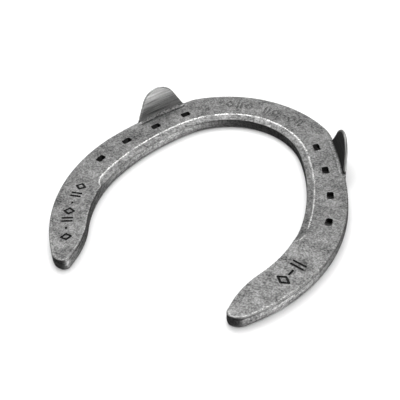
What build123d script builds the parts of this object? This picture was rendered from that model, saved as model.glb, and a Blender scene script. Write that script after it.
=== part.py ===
"""A side-clipped steel horseshoe for a hind hoof, forged from 3/4 x 1/4 inch bar.

Millimetres. The shoe lies on its ground surface at Z = 0 with the foot surface up.
+Y points to the toe, -Y to the heels, and the shoe is the same on both sides of X = 0.
"""
from build123d import *
from math import radians, sin, tan
import os

# The bar
shoe_length = 137.0
web_thickness = 6.4
foot_edge_radius = 0.7
ground_edge_radius = 1.3

# The outer edge from the toe centre to the heel: the radius of each arc and its turn in degrees
toe_arc = (60.0, 35.0)
shoulder_arc = (20.0, 17.5)
quarter_arc = (170.0, 14.5)
heel_arc_radius = 77.5
outer_heel_corner_radius = 6.0

# The inner edge, the same way: the last arc turns back, so that the heels run straight
toe_web_width = 18.0
inner_toe_arc = (36.5, 55.0)
inner_quarter_arc = (104.0, 23.5)
inner_branch_arc = (61.0, 37.0)
inner_flare_arc = (45.0, -25.5)
inner_arcs = [inner_toe_arc, inner_quarter_arc, inner_branch_arc, inner_flare_arc]
inner_heel_corner_radius = 3.0

# Sole relief: the slope along the inner edge of the foot surface
relief_width = 3.8
relief_drop = 1.1
relief_branch_turn = 9.0
relief_arcs = [inner_toe_arc, inner_quarter_arc, (inner_branch_arc[0], relief_branch_turn)]
relief_end_radius = 8.0
relief_end_turn = -90.0
relief_overrun = 0.5

# Nail holes in each branch: how far along the outer edge, and how far in from it
nail_holes = [(49.2, 9.3), (67.1, 8.6), (85.4, 8.1), (104.5, 7.6)]
nail_hole_at_foot = (4.0, 2.5)
nail_hole_at_crease = (5.4, 3.6)

# The crease along the ground side of each branch, which takes the nail heads
crease_inset = 8.5
crease_width = 6.6
crease_depth = 3.0
crease_draft = 14.0
crease_start = 33.0
crease_end = 101.0

# Side clips, drawn up from the quarters: the angle is measured round the quarter arc's centre
clip_angle = 32.0
clip_height = 14.0
clip_blank_height = 16.0
clip_tip_radius = 9.6
clip_side_slope = 27.5
clip_foot_depth = 3.4
clip_foot_thickness = 2.6
clip_root_thickness = 1.4
clip_tip_thickness = 1.2
clip_lean = 6.7
clip_root_radius = 1.2
clip_edge_radius = 0.4
clip_blank_turn = 14.0
clip_blank_start = clip_angle - clip_blank_turn / 2

toe_y = shoe_length / 2
heel_y = -shoe_length / 2
inner_toe_y = toe_y - toe_web_width
clip_peak = clip_height + clip_tip_radius * (1 / sin(radians(clip_side_slope)) - 1)
clip_base_width = 2 * clip_peak * tan(radians(clip_side_slope))
heel_line = Axis((0, heel_y, 0), (1, 0, 0))
toe_heading = Vector(1, 0)
overrun = 1.0


def arc_run(start_y, arcs, widen=0.0):
    """Arcs joined end to end from the toe centre round to the +X side.

    widen moves the whole run outwards, away from the middle of the shoe.
    """
    point = Vector(0, start_y + widen)
    heading = toe_heading
    run = []
    for radius, turn in arcs:
        bend = -1 if turn > 0 else 1
        arc = JernArc(point, heading, radius - bend * widen, bend * abs(turn))
        point, heading = arc @ 1, arc % 1
        run.append(arc)
    return run


def outer_run(widen=0.0):
    """The outer edge of the +X half, moved outwards by widen, down to the heel line."""
    run = arc_run(toe_y, [toe_arc, shoulder_arc, quarter_arc], widen)
    run.append(JernArc(run[-1] @ 1, run[-1] % 1, heel_arc_radius + widen, heel_line))
    return run


outer_edge = Wire(outer_run())
nail_line = Wire(outer_run(-crease_inset))
crease_line = nail_line.trim(crease_start / nail_line.length, crease_end / nail_line.length)

# Where the quarter arc is centred, and the outward frame of the +X clip on it
quarter_centre = outer_run()[2].arc_center
clip_out = Vector(1, 0).rotate(Axis.Z, clip_angle)
clip_plane = Plane(
    origin=quarter_centre + clip_out * quarter_arc[0] + Vector(0, 0, web_thickness),
    x_dir=clip_out.rotate(Axis.Z, 90),
    z_dir=clip_out,
)


def clip_band(height, outside_radius, thickness):
    """A band round the quarter arc's centre, a little longer than the clip, as a face at this height."""
    with BuildSketch(Plane(quarter_centre).offset(height)) as band:
        with BuildLine():
            inside_radius = outside_radius - thickness
            outside = CenterArc((0, 0), outside_radius, clip_blank_start, clip_blank_turn)
            inside = CenterArc((0, 0), inside_radius, clip_blank_start, clip_blank_turn)
            Line(outside @ 0, inside @ 0)
            Line(outside @ 1, inside @ 1)
        make_face()
    return band.sketch.face()


# The clip's outer face leans out from the bottom of its foot
lean_out = tan(radians(clip_lean))
outside_at_foot = quarter_arc[0] + clip_foot_depth * lean_out
outside_at_tip = outside_at_foot + clip_blank_height * lean_out
seat_bottom = web_thickness - clip_foot_depth
seat_radius = quarter_arc[0] - clip_foot_thickness

# The foot, let into the shoe's outer edge
with BuildPart() as clip_foot:
    foot_bottom = clip_band(seat_bottom, quarter_arc[0], clip_foot_thickness)
    foot_top = clip_band(web_thickness, outside_at_foot, outside_at_foot - seat_radius)
    loft([foot_bottom, foot_top])
    with BuildSketch(clip_plane):
        Rectangle(clip_base_width, 2 * clip_base_width)
    extrude(amount=clip_base_width, both=True, mode=Mode.INTERSECT)

with BuildPart() as right_side_clip:
    # The tongue is thinner than the foot and thins further towards its tip
    tongue_root = clip_band(web_thickness, outside_at_foot, clip_root_thickness)
    tongue_tip = clip_band(web_thickness + clip_blank_height, outside_at_tip, clip_tip_thickness)
    loft([tongue_root, tongue_tip])
    # From the side it is a rounded triangle
    with BuildSketch(clip_plane):
        with BuildLine():
            half = clip_base_width / 2
            Polyline((half, 0), (0, clip_peak), (-half, 0), close=True)
        make_face()
        fillet(vertices().sort_by(Axis.Y)[-1], clip_tip_radius)
    extrude(amount=clip_base_width, both=True, mode=Mode.INTERSECT)
    tongue_rim = edges().filter_by(lambda edge: edge.center().Z > web_thickness + overrun)
    fillet(tongue_rim, clip_edge_radius)
    # Its inner face runs out in a round root on the foot's top face
    add(clip_foot.part)
    long_edges = edges().filter_by(lambda edge: edge.length > clip_base_width / 2)
    level_edges = long_edges.group_by(lambda edge: abs(edge.center().Z - web_thickness))[0]
    inner_root = level_edges.sort_by(lambda edge: (edge.center() - quarter_centre).length)[1]
    fillet(inner_root, clip_root_radius)
right_side_clip.part.label = "right_side_clip"

with BuildPart() as left_side_clip:
    mirror(right_side_clip.part, about=Plane.YZ)
left_side_clip.part.label = "left_side_clip"

# The seat that each clip's foot fills, open to the outside of the shoe
with BuildPart() as clip_seats:
    seat_outline = clip_band(seat_bottom, quarter_arc[0] + overrun, clip_foot_thickness + overrun)
    extrude(seat_outline, amount=clip_foot_depth + overrun)
    with BuildSketch(clip_plane):
        Rectangle(clip_base_width, 2 * clip_base_width)
    extrude(amount=clip_base_width, both=True, mode=Mode.INTERSECT)
    mirror(about=Plane.YZ)

with BuildPart() as shoe_body:
    with BuildSketch():
        with BuildLine():
            outer = outer_run()
            inner = arc_run(inner_toe_y, inner_arcs)
            heel_run = Line(inner[-1] @ 1, ((inner[-1] @ 1).X, heel_y))
            Line(heel_run @ 1, outer[-1] @ 1)
            Line(inner[0] @ 0, outer[0] @ 0)
        make_face()
        fillet(vertices().group_by(Axis.Y)[0].sort_by(Axis.X)[0], inner_heel_corner_radius)
        fillet(vertices().group_by(Axis.Y)[0].sort_by(Axis.X)[-1], outer_heel_corner_radius)
        mirror(about=Plane.YZ)
    extrude(amount=web_thickness)
    fillet(faces().sort_by(Axis.Z)[-1].edges(), foot_edge_radius)
    fillet(faces().sort_by(Axis.Z)[0].edges(), ground_edge_radius)

    # Sole relief round the inside of the toe and quarters, running out before the heels
    relief_slope = relief_width / relief_drop
    for height, widen in [
        (web_thickness - relief_drop - relief_overrun, -relief_slope * relief_overrun),
        (web_thickness + relief_overrun, relief_width + relief_slope * relief_overrun),
    ]:
        with BuildSketch(Plane.XY.offset(height)):
            with BuildLine():
                run = arc_run(inner_toe_y, relief_arcs, widen)
                end_radius = relief_end_radius - relief_width + widen
                end_arc = JernArc(run[-1] @ 1, run[-1] % 1, end_radius, relief_end_turn)
                on_centre = (0, (end_arc @ 1).Y)
                Line(end_arc @ 1, on_centre)
                Line(on_centre, run[0] @ 0)
            make_face()
            mirror(about=Plane.YZ)
    loft(ruled=True, mode=Mode.SUBTRACT)

    # Creases in the ground surface
    with BuildSketch():
        SlotArc(crease_line, crease_width)
        mirror(about=Plane.YZ)
    extrude(amount=crease_depth, taper=crease_draft, mode=Mode.SUBTRACT)

    # Nail holes, punched through from the creases
    for side in (-1, 1):
        for along, inset in nail_holes:
            spot = outer_edge.position_at(along, position_mode=PositionMode.LENGTH)
            heading = outer_edge.tangent_at(along, position_mode=PositionMode.LENGTH)
            centre = spot + heading.rotate(Axis.Z, -90) * inset
            hole_plane = Plane(
                origin=(side * centre.X, centre.Y, 0),
                x_dir=(side * heading.X, heading.Y, 0),
                z_dir=(0, 0, 1),
            )
            with BuildSketch(hole_plane.offset(crease_depth)):
                Rectangle(*nail_hole_at_crease)
            with BuildSketch(hole_plane.offset(web_thickness)):
                Rectangle(*nail_hole_at_foot)
            loft(mode=Mode.SUBTRACT)

    add(clip_seats.part, mode=Mode.SUBTRACT)
shoe_body.part.label = "shoe_body"

os.makedirs("parts", exist_ok=True)
export_step(shoe_body.part, "parts/shoe_body.step")
export_step(left_side_clip.part, "parts/left_side_clip.step")
export_step(right_side_clip.part, "parts/right_side_clip.step")
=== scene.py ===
"""The looks of a side-clipped horseshoe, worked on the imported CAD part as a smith's file and punches would.

The three CAD nodes are fused into one skin, because on the real shoe the clips are drawn out of the bar.
The skin gets its uneven surface, parting line, clip grooves and punch marks, and is then cut back into
the shoe and its two clips along the clip seats, so that each piece stays its own closed solid.
"""
from math import cos, radians, sin

import bmesh
import bpy
import numpy as np
from mathutils import Matrix, Vector, noise
from mathutils.bvhtree import BVHTree
from mathutils.kdtree import KDTree


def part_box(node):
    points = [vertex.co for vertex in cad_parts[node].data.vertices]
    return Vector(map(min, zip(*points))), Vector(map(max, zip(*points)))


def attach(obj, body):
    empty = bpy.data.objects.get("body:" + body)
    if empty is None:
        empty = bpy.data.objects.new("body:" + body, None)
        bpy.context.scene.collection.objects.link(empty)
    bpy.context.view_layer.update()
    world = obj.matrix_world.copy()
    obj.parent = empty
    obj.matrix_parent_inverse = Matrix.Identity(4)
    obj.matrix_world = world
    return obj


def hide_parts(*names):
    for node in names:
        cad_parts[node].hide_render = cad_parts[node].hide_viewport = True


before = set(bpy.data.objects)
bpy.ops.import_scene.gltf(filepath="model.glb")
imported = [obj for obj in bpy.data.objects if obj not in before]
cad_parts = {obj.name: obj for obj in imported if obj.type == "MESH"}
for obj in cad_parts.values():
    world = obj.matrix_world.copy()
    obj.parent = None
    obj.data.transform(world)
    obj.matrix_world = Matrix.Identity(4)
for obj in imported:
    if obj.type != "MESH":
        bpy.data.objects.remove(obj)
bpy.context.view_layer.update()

MM = 0.001
SHOE = "shoe_body"
CLIPS = ("left_side_clip", "right_side_clip")
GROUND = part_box(SHOE)[0].z / MM
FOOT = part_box(SHOE)[1].z / MM
CREASE_TOP = 3.1

# Lengths are in millimetres, down to the camera's. A face is level where its normal's Z is above LEVEL,
# on the foot surface where it is also within TOP_BAND of it, and part of a wall where its normal's level
# part is over WALL_STEEPNESS, fully so at WALL_BLEND more, and it lies WALL_BELOW the foot surface
LEVEL = 0.9
TOP_BAND = 0.15
WALL_STEEPNESS = 0.8
WALL_BLEND = 0.15
WALL_BELOW = 0.2

# The skin: its quads, and how far round a sharp edge, a mark or the burr they are finer
VOXEL = 0.55
CLIP_SWELL = 0.03
SMOOTHING_ROUNDS = 1
FINE_CUTS = 2
FINE_REACH = 0.6
MARK_BAND = 0.3
SHARP_EDGE = radians(40)
SMOOTH_SHADED = radians(60)

# The zone round each clip's root that is finer: above and below the foot surface, inward and outward
ROOT_HEIGHT = 1.6
ROOT_INWARD = 0.9
ROOT_OUTWARD = 2.2
ROOT_PAST_END = 1.0

# Where the corners at a clip's ends are rounded off, and how many rounds of it
CORNER_REACH = 1.2
CORNER_START = 1.2
CORNER_FADE = 0.8
CORNER_HEIGHT = 2.0
CORNER_ROUNDS = 14

# A wall that faces another within this is the inside of a nail hole or crease
HOLLOW_REACH = 8.0
HOLLOW_CLEARANCE = 0.1
HOLLOW_STEEPNESS = 0.3

# The forged surface: (size of the unevenness, its height)
UNEVENNESS = ((14.0, 0.05), (5.0, 0.03), (1.7, 0.012))
UNEVENNESS_SHIFT = Vector((7.3, 1.9, 4.1))
CONVEXITY_ROUNDS = 8
FULL_CONVEXITY = 0.12

# The walls draw in above and below a rounded parting line, except beside the clips
PARTING_HEIGHT = 0.42 * FOOT
PARTING_ROUNDING = 0.2
WALL_DRAFT = 0.08
CLIP_FADE = 3.0

# The drawing tool's groove along the inner side of each clip's foot, left and right
GROOVE_HALF_WIDTH = 0.4
GROOVE_DEPTHS = (0.6, 0.1)
GROOVE_RUN_OUT = 2.0

# The burr along the outer edge of the sole relief, whose slope falls this much for each millimetre
RELIEF_FALL = 0.29
RELIEF_START = 0.03
RELIEF_END = 1.25
BURR_INSET = 0.25
BURR_WIDTH = 0.45
BURR_HEIGHT = 0.05
BURR_ZONE = (0.02, RELIEF_FALL * 1.2)

# The cutters that part the clips from the shoe reach past everything outward and upward
CUTTER_REACH = 12.0
CUTTER_RISE = 1.0

# Punch marks: plain shapes made of strokes, in a cell one unit along the row and one across it
DIAMOND = (((-0.5, 0), (0, 0.5)), ((0, 0.5), (0.5, 0)), ((0.5, 0), (0, -0.5)), ((0, -0.5), (-0.5, 0)))
BARS = (((-0.28, -0.5), (-0.28, 0.5)), ((0.28, -0.5), (0.28, 0.5)))
DOT = (((-0.06, 0), (0.06, 0)),)
DASH = (((-0.35, 0), (0.35, 0)),)
STROKE_HALF_WIDTH = 0.48
STROKE_LIP = 0.03
LIP_OFFSET = 0.12
LIP_WIDTH = 0.15
FULL_DEPTH = 0.45


class MarkRow:
    """Marks spaced along a bowed row on the foot surface, from start past middle to end."""

    def __init__(self, start, middle, end, cell, depth, marks):
        self.points = [np.array(p, float) for p in (start, middle, end)]
        self.cell = cell
        self.depth = depth
        self.marks = marks

    def place(self, share):
        """A point on the row and its heading, with the row's own middle point at share 0.5."""
        start, middle, end = self.points
        handle = 2 * middle - (start + end) / 2
        point = (1 - share) ** 2 * start + 2 * share * (1 - share) * handle + share**2 * end
        heading = (1 - share) * (handle - start) + share * (end - handle)
        return point, heading / np.linalg.norm(heading)

    def strokes(self):
        """Every stroke of the row as its two ends, in millimetres on the foot surface."""
        made = []
        for number, mark in enumerate(self.marks):
            point, heading = self.place(number / (len(self.marks) - 1))
            across = np.array((-heading[1], heading[0]))
            for ends in mark:
                made.append([
                    point + heading * a * self.cell[0] + across * b * self.cell[1]
                    for a, b in ends
                ])
        return np.array(made)


MARK_ROWS = (
    MarkRow((-56.6, -23.8), (-53.0, -40.2), (-45.6, -54.9), (3.6, 4.4), FULL_DEPTH,
            (DIAMOND, BARS, DOT, DIAMOND, BARS, DOT, DIAMOND)),
    MarkRow((55.3, -31.8), (54.0, -36.8), (52.6, -41.8), (3.8, 6.0), FULL_DEPTH,
            (BARS, DASH, DIAMOND)),
    MarkRow((-17.5, 58.6), (2.0, 60.8), (20.5, 57.4), (3.4, 4.6), 0.15,
            (DIAMOND, BARS, DIAMOND, DOT, BARS, DIAMOND, DOT, DIAMOND, BARS)),
)


def circle_through(a, b, c):
    """Centre and radius of the circle through three points in the plane."""
    rows = np.array([b - a, c - a])
    centre = a + np.linalg.solve(2 * rows, (rows**2).sum(1))
    return centre, np.linalg.norm(a - centre)


class Seat:
    """Where a clip's foot sits in the shoe, read from the lowest face of the clip's CAD node."""

    def __init__(self, clip):
        co = vertices_of(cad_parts[clip].data)
        self.bottom = co[:, 2].min()
        ring = np.unique(co[co[:, 2] < self.bottom + 0.01][:, :2].round(4), axis=0)
        middle = ring.mean(0)
        self.along = np.linalg.svd(ring - middle)[2][0]
        self.out = np.array((self.along[1], -self.along[0]))
        self.out *= np.sign(self.out[0] * middle[0])
        across = (ring - middle) @ self.out
        inner = ring[across < (across.min() + across.max()) / 2]
        self.inner = inner[np.argsort(inner @ self.along)]
        middle_point = self.inner[len(inner) // 2]
        self.centre, self.inner_radius = circle_through(self.inner[0], middle_point, self.inner[-1])
        self.half_width = np.ptp(self.inner @ self.along) / 2
        self.mid_along = (self.inner[0] + self.inner[-1]) @ self.along / 2

    def place(self, co):
        """How far points lie inward of the foot's inner side, and how far along it from its middle."""
        inward = self.inner_radius - np.linalg.norm(co[:, :2] - self.centre, axis=1)
        return inward, co[:, :2] @ self.along - self.mid_along


def vertices_of(mesh):
    """A mesh's vertices in millimetres."""
    co = np.empty(len(mesh.vertices) * 3)
    mesh.vertices.foreach_get("co", co)
    return co.reshape(-1, 3) / MM


def set_vertices(mesh, co):
    mesh.vertices.foreach_set("co", (co * MM).ravel())
    mesh.update()


def normals_of(mesh):
    normals = np.empty(len(mesh.vertices) * 3)
    mesh.vertex_normals.foreach_get("vector", normals)
    return normals.reshape(-1, 3)


def smooth_step(x):
    x = np.clip(x, 0, 1)
    return x * x * (3 - 2 * x)


def new_object(name, mesh):
    made = bpy.data.objects.new(name, mesh)
    bpy.context.scene.collection.objects.link(made)
    return made


def applied(source, name):
    """A new mesh with the object's modifiers in it; the object itself goes."""
    evaluated = source.evaluated_get(bpy.context.evaluated_depsgraph_get())
    mesh = bpy.data.meshes.new_from_object(evaluated)
    mesh.name = name
    bpy.data.objects.remove(source)
    return mesh


def cad_skin():
    """The CAD nodes side by side in one mesh, each closed, with the clips swollen a hair into the shoe."""
    joined = bmesh.new()
    for name, swell in ((SHOE, 0.0), (CLIPS[0], CLIP_SWELL), (CLIPS[1], CLIP_SWELL)):
        piece = bmesh.new()
        piece.from_mesh(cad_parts[name].data)
        bmesh.ops.remove_doubles(piece, verts=piece.verts, dist=0.0001 * MM)
        piece.normal_update()
        for vertex in piece.verts:
            vertex.co += vertex.normal * swell * MM
        mesh = bpy.data.meshes.new(name + "_closed")
        piece.to_mesh(mesh)
        piece.free()
        joined.from_mesh(mesh)
    skin = bpy.data.meshes.new("cad_skin")
    joined.to_mesh(skin)
    joined.free()
    return skin


def sharp_spots(cad):
    """Points along the CAD skin's sharp edges above the creases: the nail holes and the clips' corners."""
    solid = bmesh.new()
    solid.from_mesh(cad)
    solid.normal_update()
    spots = []
    for edge in solid.edges:
        a, b = (vertex.co / MM for vertex in edge.verts)
        if edge.calc_face_angle(0.0) > SHARP_EDGE and (a.z + b.z) / 2 > GROUND + CREASE_TOP:
            steps = int((b - a).length / VOXEL) + 1
            spots += [a.lerp(b, i / steps) for i in range(steps + 1)]
    solid.free()
    tree = KDTree(len(spots))
    for i, spot in enumerate(spots):
        tree.insert(spot, i)
    tree.balance()
    return tree


def needs_detail(skin, cad, seats, strokes):
    """Which of the skin's vertices lie near a sharp edge, a mark, the burr or a clip's root."""
    co = vertices_of(skin)
    fall = FOOT - co[:, 2]
    spots = sharp_spots(cad)
    wanted = np.array([spots.find(p)[2] < FINE_REACH + VOXEL / 2 for p in co])
    wanted |= (np.abs(fall) < MARK_BAND) & (distance_to_strokes(co, strokes) < FINE_REACH + VOXEL)
    by_burr = (fall > BURR_ZONE[0]) & (fall < BURR_ZONE[1])
    wanted |= by_burr & (normals_of(skin)[:, 2] > LEVEL)
    for seat in seats:
        inward, along = seat.place(co)
        by_foot = (np.abs(fall) < ROOT_HEIGHT) & (np.abs(along) < seat.half_width + ROOT_PAST_END)
        wanted |= by_foot & (inward > -ROOT_OUTWARD) & (inward < ROOT_INWARD)
    return wanted


def fused_skin(seats, strokes):
    """One skin of small quads over the whole shoe, finer where needed, laid back on the CAD surface."""
    cad = cad_skin()
    block = new_object("block", cad.copy())
    remesh = block.modifiers.new("even", "REMESH")
    remesh.mode = "VOXEL"
    remesh.voxel_size = VOXEL * MM
    skin = applied(block, "skin")
    refine(skin, needs_detail(skin, cad, seats, strokes))
    surface = BVHTree.FromPolygons([v.co for v in cad.vertices], [p.vertices for p in cad.polygons])
    for vertex in skin.vertices:
        vertex.co = surface.find_nearest(vertex.co)[0]
    return skin


def relax(mesh, rounds, where):
    """Rounds off the vertices in where, each towards the middle of its neighbours."""
    edges = np.empty(len(mesh.edges) * 2, int)
    mesh.edges.foreach_get("vertices", edges)
    a, b = edges.reshape(-1, 2).T
    co = vertices_of(mesh)
    count = np.bincount(np.r_[a, b], minlength=len(co))[:, None]
    for _ in range(rounds):
        middle = np.zeros_like(co)
        np.add.at(middle, a, co[b])
        np.add.at(middle, b, co[a])
        co += (middle / count - co) * 0.5 * where[:, None]
    set_vertices(mesh, co)


def distance_to_strokes(co, strokes):
    """How far each point lies from the nearest stroke, seen from above."""
    nearest = np.full(len(co), np.inf)
    for start, end in strokes:
        span = end - start
        share = np.clip((co[:, :2] - start) @ span / (span @ span), 0, 1)
        nearest = np.minimum(nearest, np.linalg.norm(co[:, :2] - start - share[:, None] * span, axis=1))
    return nearest


def refine(mesh, wanted):
    """Splits the quads whose corners are all wanted into finer ones."""
    grid = bmesh.new()
    grid.from_mesh(mesh)
    edges = [e for e in grid.edges if wanted[e.verts[0].index] and wanted[e.verts[1].index]]
    bmesh.ops.subdivide_edges(grid, edges=edges, cuts=FINE_CUTS, use_grid_fill=True)
    grid.to_mesh(mesh)
    grid.free()


def unevenness(co):
    """A height between minus the sum of UNEVENNESS and 0 for each point, smooth and always the same."""
    height = np.zeros(len(co))
    for number, (size, depth) in enumerate(UNEVENNESS):
        shift = UNEVENNESS_SHIFT * (number + 1)
        waves = [noise.noise(Vector(p) / size + shift) for p in co]
        height += depth * (np.array(waves) - 1) / 2
    return height


def round_clip_corners(skin, seats):
    """Rounds the steps at both ends of each clip, where the real one flows out of the bar."""
    co = vertices_of(skin)
    where = np.zeros(len(co))
    for seat in seats:
        inward, along = seat.place(co)
        ends = np.exp(-(((np.abs(along) - seat.half_width) / CORNER_REACH) ** 2))
        outside = smooth_step((-inward - CORNER_START) / CORNER_FADE)
        where = np.maximum(where, ends * outside * (co[:, 2] < FOOT + CORNER_HEIGHT))
    relax(skin, CORNER_ROUNDS, where)


def beside_clips(co, seats):
    """1 on the wall beside a clip, fading to 0 a little past its ends."""
    near = np.zeros(len(co))
    for seat in seats:
        inward, along = seat.place(co)
        beside = smooth_step((seat.half_width + CLIP_FADE - np.abs(along)) / CLIP_FADE)
        near = np.maximum(near, beside * (inward < 0))
    return near


def press_grooves(co, top, seats):
    """Lowers the foot surface along the inner side of each clip's foot."""
    for seat, depth in zip(seats, GROOVE_DEPTHS):
        inward, along = seat.place(co)
        held = smooth_step((seat.half_width - np.abs(along)) / GROOVE_RUN_OUT)
        groove = np.exp(-((inward / GROOVE_HALF_WIDTH) ** 2))
        co[:, 2] -= np.where(top, groove * held * depth, 0)


def punch_marks(co, top, strokes):
    """Punches the rows of marks into the foot surface; gives how deep in one each point is, up to 1."""
    marked = np.zeros(len(co))
    for row, lines in zip(MARK_ROWS, strokes):
        distance = distance_to_strokes(co, lines)
        bite = np.clip(1 - (distance / STROKE_HALF_WIDTH) ** 2, 0, 1)
        lip = np.exp(-(((distance - STROKE_HALF_WIDTH - LIP_OFFSET) / LIP_WIDTH) ** 2))
        share = row.depth / FULL_DEPTH
        co[:, 2] += np.where(top, STROKE_LIP * lip * share - row.depth * bite, 0)
        marked = np.maximum(marked, np.where(top, bite * share, 0))
    return marked


def worked_skin():
    """The fused skin with its uneven surface, parting line, burr, clip grooves and punch marks."""
    seats = [Seat(clip) for clip in CLIPS]
    strokes = [row.strokes() for row in MARK_ROWS]
    skin = fused_skin(seats, np.concatenate(strokes))
    relax(skin, SMOOTHING_ROUNDS, np.ones(len(skin.vertices)))
    round_clip_corners(skin, seats)

    co = vertices_of(skin)
    normals = normals_of(skin)
    fall = FOOT - co[:, 2]
    top = (np.abs(fall) < TOP_BAND) & (normals[:, 2] > LEVEL)
    slope = (fall > RELIEF_START) & (fall < RELIEF_END) & (normals[:, 2] > LEVEL)
    burr = np.where(slope, np.exp(-((fall / RELIEF_FALL - BURR_INSET) / BURR_WIDTH) ** 2), 0)
    steepness = np.linalg.norm(normals[:, :2], axis=1)
    wall = smooth_step((steepness - WALL_STEEPNESS) / WALL_BLEND) * (fall > WALL_BELOW)
    off_parting = np.sqrt((co[:, 2] - PARTING_HEIGHT) ** 2 + PARTING_ROUNDING**2)
    draft = WALL_DRAFT * off_parting * (1 - beside_clips(co, seats))
    co += normals * (unevenness(co) - wall * draft)[:, None]
    co[:, 2] += burr * BURR_HEIGHT
    press_grooves(co, top, seats)
    marked = punch_marks(co, top, strokes)
    set_vertices(skin, co)

    zones = {
        "mark": marked,
        "edge": convexity(skin),
        "burr": burr,
        "hollow": hollow_walls(skin),
        "wall": wall,
    }
    for name, values in zones.items():
        skin.attributes.new(name, "FLOAT", "POINT").data.foreach_set("value", values)
    return skin, seats


def hollow_walls(mesh):
    """1 on walls that face another wall close by, as in the nail holes and creases, and 0 elsewhere."""
    surface = BVHTree.FromPolygons([v.co for v in mesh.vertices], [p.vertices for p in mesh.polygons])
    found = np.zeros(len(mesh.vertices))
    for i, vertex in enumerate(mesh.vertices):
        level = Vector((vertex.normal.x, vertex.normal.y, 0))
        if level.length > HOLLOW_STEEPNESS:
            start = vertex.co + level.normalized() * HOLLOW_CLEARANCE * MM
            found[i] = surface.ray_cast(start, level, HOLLOW_REACH * MM)[0] is not None
    return found


def convexity(mesh):
    """From -1 in a hollow to 1 on a proud edge, over about a millimetre."""
    co = vertices_of(mesh)
    smooth = mesh.copy()
    relax(smooth, CONVEXITY_ROUNDS, np.ones(len(co)))
    bulge = ((co - vertices_of(smooth)) * normals_of(mesh)).sum(1)
    bpy.data.meshes.remove(smooth)
    return np.clip(bulge / FULL_CONVEXITY, -1, 1)


def seat_cutter(seat, name):
    """A closed block round the clip's foot and tongue, with the foot's own inner side."""
    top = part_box(CLIPS[0])[1].z / MM + CUTTER_RISE
    outside = seat.out * CUTTER_REACH
    outline = [*seat.inner, seat.inner[-1] + outside, seat.inner[0] + outside]
    rings = [[(*point, z) for point in outline] for z in (seat.bottom, top)]
    block = bmesh.new()
    lower, upper = ([block.verts.new(Vector(p) * MM) for p in ring] for ring in rings)
    block.faces.new(lower)
    block.faces.new(upper)
    for i in range(len(lower)):
        j = (i + 1) % len(lower)
        block.faces.new((lower[i], lower[j], upper[j], upper[i]))
    bmesh.ops.recalc_face_normals(block, faces=block.faces)
    mesh = bpy.data.meshes.new(name)
    block.to_mesh(mesh)
    block.free()
    return new_object(name, mesh)


def cut(skin, name, operation, cutters):
    """A piece of the skin: what is left of it after the boolean operation with each cutter."""
    source = new_object(name + "_source", skin)
    for cutter in cutters:
        boolean = source.modifiers.new(cutter.name, "BOOLEAN")
        boolean.operation = operation
        boolean.solver = "MANIFOLD"
        boolean.object = cutter
    mesh = applied(source, name)
    mesh.shade_smooth()
    mesh.set_sharp_from_angle(angle=SMOOTH_SHADED)
    return new_object(name, mesh)


def build_pieces():
    """The shoe and its two clips, each standing for its CAD node."""
    skin, seats = worked_skin()
    cutters = [seat_cutter(seat, clip + "_seat") for seat, clip in zip(seats, CLIPS)]
    pieces = {SHOE: cut(skin.copy(), "forged_shoe", "DIFFERENCE", cutters)}
    for clip, cutter in zip(CLIPS, cutters):
        pieces[clip] = cut(skin.copy(), "drawn_" + clip, "INTERSECT", [cutter])
    for cutter in cutters:
        bpy.data.objects.remove(cutter)
    for node, piece in pieces.items():
        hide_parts(node)
        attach(piece, "root")
    return pieces


# The camera stands at the right heel and looks down across the shoe
VIEW_AZIMUTH = 29.282
VIEW_ELEVATION = 42.994
VIEW_ROLL = -5.0
VIEW_DISTANCE = 442.571
VIEW_TARGET = (-4.025, -5.333, 0.0)
LENS = 85.73
SENSOR = 36.0


def add_camera():
    data = bpy.data.cameras.new("camera")
    data.lens = LENS
    data.sensor_width = SENSOR
    data.clip_start = 10 * MM
    data.clip_end = 10.0
    camera = new_object("camera", data)
    azimuth, elevation = radians(VIEW_AZIMUTH), radians(VIEW_ELEVATION)
    back = Vector((sin(azimuth) * cos(elevation), -cos(azimuth) * cos(elevation), sin(elevation)))
    level = back.to_track_quat("Z", "Y").to_matrix()
    turned = level @ Matrix.Rotation(radians(VIEW_ROLL), 3, "Z")
    camera.matrix_world = turned.to_4x4()
    camera.location = (Vector(VIEW_TARGET) + back * VIEW_DISTANCE) * MM
    bpy.context.scene.camera = camera


# The staging, in metres
FLOOR_SIDE = 1.8
BACKDROP_RADIUS = 3.0


def add_floor():
    """A pale floor that the steel doesn't mirror, and that lets the bounce light through from below."""
    mesh = bpy.data.meshes.new("floor")
    half = FLOOR_SIDE / 2
    corners = [(-half, -half, 0), (half, -half, 0), (half, half, 0), (-half, half, 0)]
    mesh.from_pydata(corners, [], [(0, 1, 2, 3)])
    floor = new_object("floor", mesh)
    material = bpy.data.materials.new("pale_floor")
    material.use_nodes = True
    shader = material.node_tree.nodes["Principled BSDF"]
    shader.inputs["Base Color"].default_value = (0.85, 0.85, 0.85, 1)
    shader.inputs["Roughness"].default_value = 0.9
    shader.inputs["Specular IOR Level"].default_value = 0.0
    mesh.materials.append(material)
    only_for_the_camera(floor)
    return floor


def add_backdrop():
    """A white dome all round, beyond the floor, for views from low down."""
    dome = bmesh.new()
    bmesh.ops.create_uvsphere(dome, u_segments=32, v_segments=16, radius=BACKDROP_RADIUS)
    mesh = bpy.data.meshes.new("backdrop")
    dome.to_mesh(mesh)
    dome.free()
    backdrop = new_object("backdrop", mesh)
    material = bpy.data.materials.new("white_backdrop")
    material.use_nodes = True
    shader = material.node_tree.nodes["Principled BSDF"]
    shader.inputs["Base Color"].default_value = (0, 0, 0, 1)
    shader.inputs["Emission Color"].default_value = (1, 1, 1, 1)
    shader.inputs["Emission Strength"].default_value = 1.0
    mesh.materials.append(material)
    only_for_the_camera(backdrop)


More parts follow.
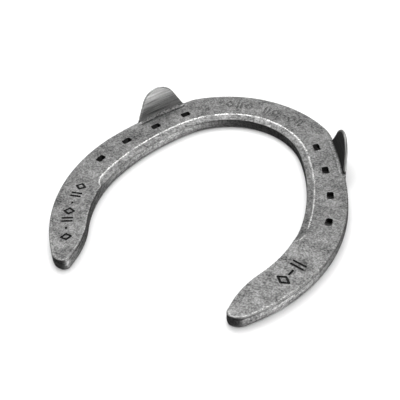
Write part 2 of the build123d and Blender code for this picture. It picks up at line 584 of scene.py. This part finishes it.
def only_for_the_camera(staging):
    """Keeps a floor or backdrop out of the steel's reflections and out of the lights' way."""
    staging.visible_glossy = False
    staging.visible_diffuse = False
    staging.visible_shadow = False


# Square softboxes: name, azimuth from +X towards +Y, elevation, side in metres, watts. The bounce
# shines up through the floor, as light off a pale bench does
LIGHT_DISTANCE = 1.2
LIGHTS = (
    ("overhead", 75, 74, 0.8, 4.6),
    ("toe_side", 135, 60, 0.7, 5.4),
    ("toe_low", 105, 15, 0.6, 1.2),
    ("bounce", -2, -38, 0.9, 10.0),
    ("right_low", 5, 12, 0.6, 1.6),
    ("heel_fill", -38, 14, 0.8, 4.5),
    ("left_fill", 200, 15, 0.8, 4.0),
)
FLOOR_LIGHT = ("floor_light", 0, 90, 2.2, 22.0)
WORLD_LIGHT = 0.02


def add_lights(floor):
    """The softboxes, and one more that lights only the floor, so that the steel isn't flat."""
    for name, azimuth, elevation, size, power in (*LIGHTS, FLOOR_LIGHT):
        data = bpy.data.lights.new(name, "AREA")
        data.shape = "SQUARE"
        data.size = size
        data.energy = power
        light = new_object(name, data)
        a, e = radians(azimuth), radians(elevation)
        away = Vector((cos(a) * cos(e), sin(a) * cos(e), sin(e)))
        light.rotation_mode = "QUATERNION"
        light.rotation_quaternion = away.to_track_quat("Z", "Y")
        light.location = away * LIGHT_DISTANCE
    lit = bpy.data.collections.new("floor_only")
    lit.objects.link(floor)
    light.light_linking.receiver_collection = lit
    world = bpy.data.worlds.new("studio")
    bpy.context.scene.world = world
    world.use_nodes = True
    world.node_tree.nodes["Background"].inputs["Color"].default_value = (WORLD_LIGHT,) * 3 + (1,)
    bpy.context.scene.view_settings.view_transform = "Standard"


class Steel:
    """A metal material, with short calls that add its nodes. Sizes are in millimetres."""

    def __init__(self, name):
        self.material = bpy.data.materials.new(name)
        self.material.use_nodes = True
        self.tree = self.material.node_tree
        self.shader = self.tree.nodes["Principled BSDF"]
        self.shader.inputs["Specular IOR Level"].default_value = 0.1
        self.place = self.tree.nodes.new("ShaderNodeTexCoord").outputs["Object"]

    def node(self, kind, inputs, **settings):
        """A shader node; each input is a value or another node's socket to link."""
        made = self.tree.nodes.new("ShaderNode" + kind)
        for name, value in settings.items():
            setattr(made, name, value)
        for name, value in inputs.items():
            if isinstance(value, bpy.types.NodeSocket):
                self.tree.links.new(value, made.inputs[name])
            else:
                made.inputs[name].default_value = value
        return made

    def noise(self, size, detail=2.0, stretch=(1, 1, 1)):
        """Noise with features of this size, drawn out along the axes by stretch."""
        scale = [1 / (size * MM * s) for s in stretch]
        spread = self.node("Mapping", {"Vector": self.place, "Scale": scale}).outputs["Vector"]
        return self.node("TexNoise", {"Vector": spread, "Scale": 1.0, "Detail": detail}).outputs["Fac"]

    def levels(self, value, low, high, to_low=0.0, to_high=1.0):
        """The value moved from the first range to the second, and kept inside it."""
        ends = {"Value": value, "From Min": low, "From Max": high, "To Min": to_low, "To Max": to_high}
        return self.node("MapRange", ends).outputs["Result"]

    def math(self, operation, a, b):
        return self.node("Math", {0: a, 1: b}, operation=operation).outputs[0]

    def blend(self, *layers):
        """The sum of layers, each a (value, share) pair."""
        total = 0.0
        for value, share in layers:
            total = self.node("Math", {0: value, 1: share, 2: total}, operation="MULTIPLY_ADD").outputs[0]
        return total

    def strongest(self, *values):
        top = values[0]
        for value in values[1:]:
            top = self.math("MAXIMUM", top, value)
        return top

    def attribute(self, name):
        return self.node("Attribute", {}, attribute_name=name).outputs["Fac"]

    def mix(self, share, under, over):
        """Colour under, with this share of it covered by colour over."""
        inputs = {0: share, 6: under, 7: over}
        return self.node("Mix", inputs, data_type="RGBA").outputs[2]

    def finish(self, colour, roughness, height, depth, painted_shade_and_pits):
        """Wires up the surface; height 0 to 1 stands for depth millimetres, and the mask of painted shade and
        pits hides the metal.
        """
        bump = self.node("Bump", {"Height": height, "Strength": 1.0, "Distance": depth * MM})
        self.tree.links.new(colour, self.shader.inputs["Base Color"])
        self.tree.links.new(roughness, self.shader.inputs["Roughness"])
        self.tree.links.new(bump.outputs["Normal"], self.shader.inputs["Normal"])
        self.tree.links.new(self.math("SUBTRACT", 1.0, painted_shade_and_pits), self.shader.inputs["Metallic"])
        return self.material


# Steel colours, and along the walls (in millimetres above the ground) a painted dark line and a band of
# painted shade, darker towards the bottom
# Black for painted shade in nail holes, creases and punched strokes and on the walls, and for the real pits
SHADE_AND_SCALE_BLACK = (0.012, 0.012, 0.012, 1)
DARK_STEEL = (0.05, 0.05, 0.051, 1)
LIGHT_STEEL = (0.47, 0.47, 0.465, 1)
# A lit copy of the clip steel for the left clip and a shaded copy for the right clip
LIT_CLIP_STEEL = (0.75, 0.75, 0.745, 1)
SHADED_CLIP_STEEL = (0.035, 0.035, 0.036, 1)
# Bright steel for painted highlights and for edge wear
HIGHLIGHT_AND_WEAR_STEEL = (0.92, 0.92, 0.91, 1)
LINE_BEGINS = (4.7, 5.1)
LINE_ENDS = (5.5, 5.8)
LOW_WALL_SHADE = (0.8, 3.6)


def bar_steel():
    """Forged bar: mottled by thin scale and pitted, with edge wear and painted highlights on the burr and
    proud edges, and painted shade: black in its nail holes, creases and punched strokes, a dark line along
    its walls and a band darker towards their bottom.
    """
    steel = Steel("forged_bar")
    clouds = steel.levels(steel.noise(9.0), 0.32, 0.68)
    blotches = steel.levels(steel.noise(2.4, 3.0), 0.36, 0.64)
    mottle = steel.levels(steel.noise(0.9, 3.0), 0.38, 0.62)
    streaks = steel.levels(steel.noise(0.8, 2.0, (14, 14, 1)), 0.35, 0.65)
    grain = steel.noise(0.25)
    pits = steel.levels(steel.noise(0.6, 1.0), 0.62, 0.72)
    tone = steel.blend((clouds, 0.14), (blotches, 0.26), (mottle, 0.4), (streaks, 0.2))
    colour = steel.mix(tone, DARK_STEEL, LIGHT_STEEL)

    # Painted highlight: a dotted bright line along the burr; proud edges lighter as edge wear and painted
    # highlight
    gaps = steel.levels(steel.noise(5.0), 0.28, 0.5)
    dots = steel.math("MULTIPLY", steel.levels(steel.noise(0.7, 2.0), 0.36, 0.54), gaps)
    burr = steel.math("MULTIPLY", steel.attribute("burr"), dots)
    edge_wear_and_highlight = steel.levels(steel.attribute("edge"), 0.3, 1.0, 0.0, 0.12)
    highlight_and_wear = steel.strongest(burr, edge_wear_and_highlight)
    colour = steel.mix(highlight_and_wear, colour, HIGHLIGHT_AND_WEAR_STEEL)

    # Painted shade on the walls: a dark line below the top edge and a band darker towards the bottom
    height = steel.node("SeparateXYZ", {"Vector": steel.place}).outputs["Z"]
    line_begins = steel.levels(height, LINE_BEGINS[0] * MM, LINE_BEGINS[1] * MM)
    line_ends = steel.levels(height, LINE_ENDS[1] * MM, LINE_ENDS[0] * MM)
    line = steel.math("MULTIPLY", steel.math("MULTIPLY", line_begins, line_ends), 0.7)
    painted_low_wall_shade = steel.levels(height, LOW_WALL_SHADE[0] * MM, LOW_WALL_SHADE[1] * MM, 0.7, 0.0)
    walls = steel.math("MULTIPLY", steel.attribute("wall"), steel.strongest(painted_low_wall_shade, line))
    painted_wall_shade = steel.math("MULTIPLY", walls, steel.levels(streaks, 0.0, 1.0, 1.0, 0.5))
    # Painted shade: black in the nail holes and creases, in the punched strokes and in concave hollows, with
    # the real pits added
    painted_crease_shade = steel.levels(steel.attribute("edge"), -0.9, -0.2, 0.5, 0.0)
    spots = steel.levels(pits, 0.0, 1.0, 0.0, 0.7)
    painted_shade_and_pits = steel.strongest(steel.attribute("mark"), steel.attribute("hollow"), painted_crease_shade, spots, painted_wall_shade)
    colour = steel.mix(painted_shade_and_pits, colour, SHADE_AND_SCALE_BLACK)

    rough = steel.levels(tone, 0.0, 1.0, 0.62, 0.46)
    roughness = steel.math("SUBTRACT", rough, steel.levels(highlight_and_wear, 0.0, 1.0, 0.0, 0.15))
    relief = steel.blend((blotches, 0.25), (mottle, 0.35), (grain, 0.4), (pits, -0.5))
    return steel.finish(colour, roughness, relief, 0.07, painted_shade_and_pits)


def clip_steel(name, painted_light_tone, rim_wear_and_highlight):
    """A drawn clip: brushed in level lines and painted lighter towards its top, up to a colour that is a lit
    copy of the steel on one clip and a shaded copy on the other; its rim brightened by edge wear and a
    painted highlight, and its root crease black as painted shade.
    """
    steel = Steel(name)
    lines = steel.levels(steel.noise(0.35, 3.0, (40, 40, 1)), 0.32, 0.68)
    bands = steel.levels(steel.noise(2.0, 2.0, (20, 20, 1)), 0.3, 0.7)
    mottle = steel.levels(steel.noise(0.9, 3.0), 0.3, 0.7)
    height = steel.node("SeparateXYZ", {"Vector": steel.place}).outputs["Z"]
    # Painted light: the clip gets lighter towards its top
    painted_top_light = steel.levels(height, (FOOT - 1) * MM, (FOOT + 11) * MM)
    tone = steel.blend((lines, 0.45), (bands, 0.15), (mottle, 0.1), (painted_top_light, 0.3))
    bar_colour = steel.mix(mottle, DARK_STEEL, LIGHT_STEEL)
    above_root = steel.levels(height, (FOOT + 0.2) * MM, (FOOT + 1.0) * MM)
    colour = steel.mix(above_root, bar_colour, steel.mix(tone, SHADE_AND_SCALE_BLACK, painted_light_tone))
    # The rim: edge wear and a painted highlight, strong on the right clip and faint on the left
    edge_wear_and_highlight = steel.levels(steel.attribute("edge"), 0.3, 1.0, 0.0, rim_wear_and_highlight)
    colour = steel.mix(edge_wear_and_highlight, colour, HIGHLIGHT_AND_WEAR_STEEL)
    # Painted shade: black in the concave crease at the clip's root
    painted_shade_and_pits = steel.levels(steel.attribute("edge"), -0.9, -0.2, 0.8, 0.0)
    colour = steel.mix(painted_shade_and_pits, colour, SHADE_AND_SCALE_BLACK)
    roughness = steel.levels(tone, 0.0, 1.0, 0.58, 0.42)
    relief = steel.blend((lines, 0.6), (mottle, 0.3), (steel.noise(0.25), 0.1))
    return steel.finish(colour, roughness, relief, 0.06, painted_shade_and_pits)


pieces = build_pieces()
# The left clip gets the lit copy of the clip steel, the right clip the shaded copy
steels = {
    SHOE: bar_steel(),
    CLIPS[0]: clip_steel("brushed_lit_clip", LIT_CLIP_STEEL, 0.1),
    CLIPS[1]: clip_steel("shaded_clip", SHADED_CLIP_STEEL, 0.5),
}
for node, steel in steels.items():
    pieces[node].data.materials.clear()
    pieces[node].data.materials.append(steel)
add_camera()
add_lights(add_floor())
add_backdrop()
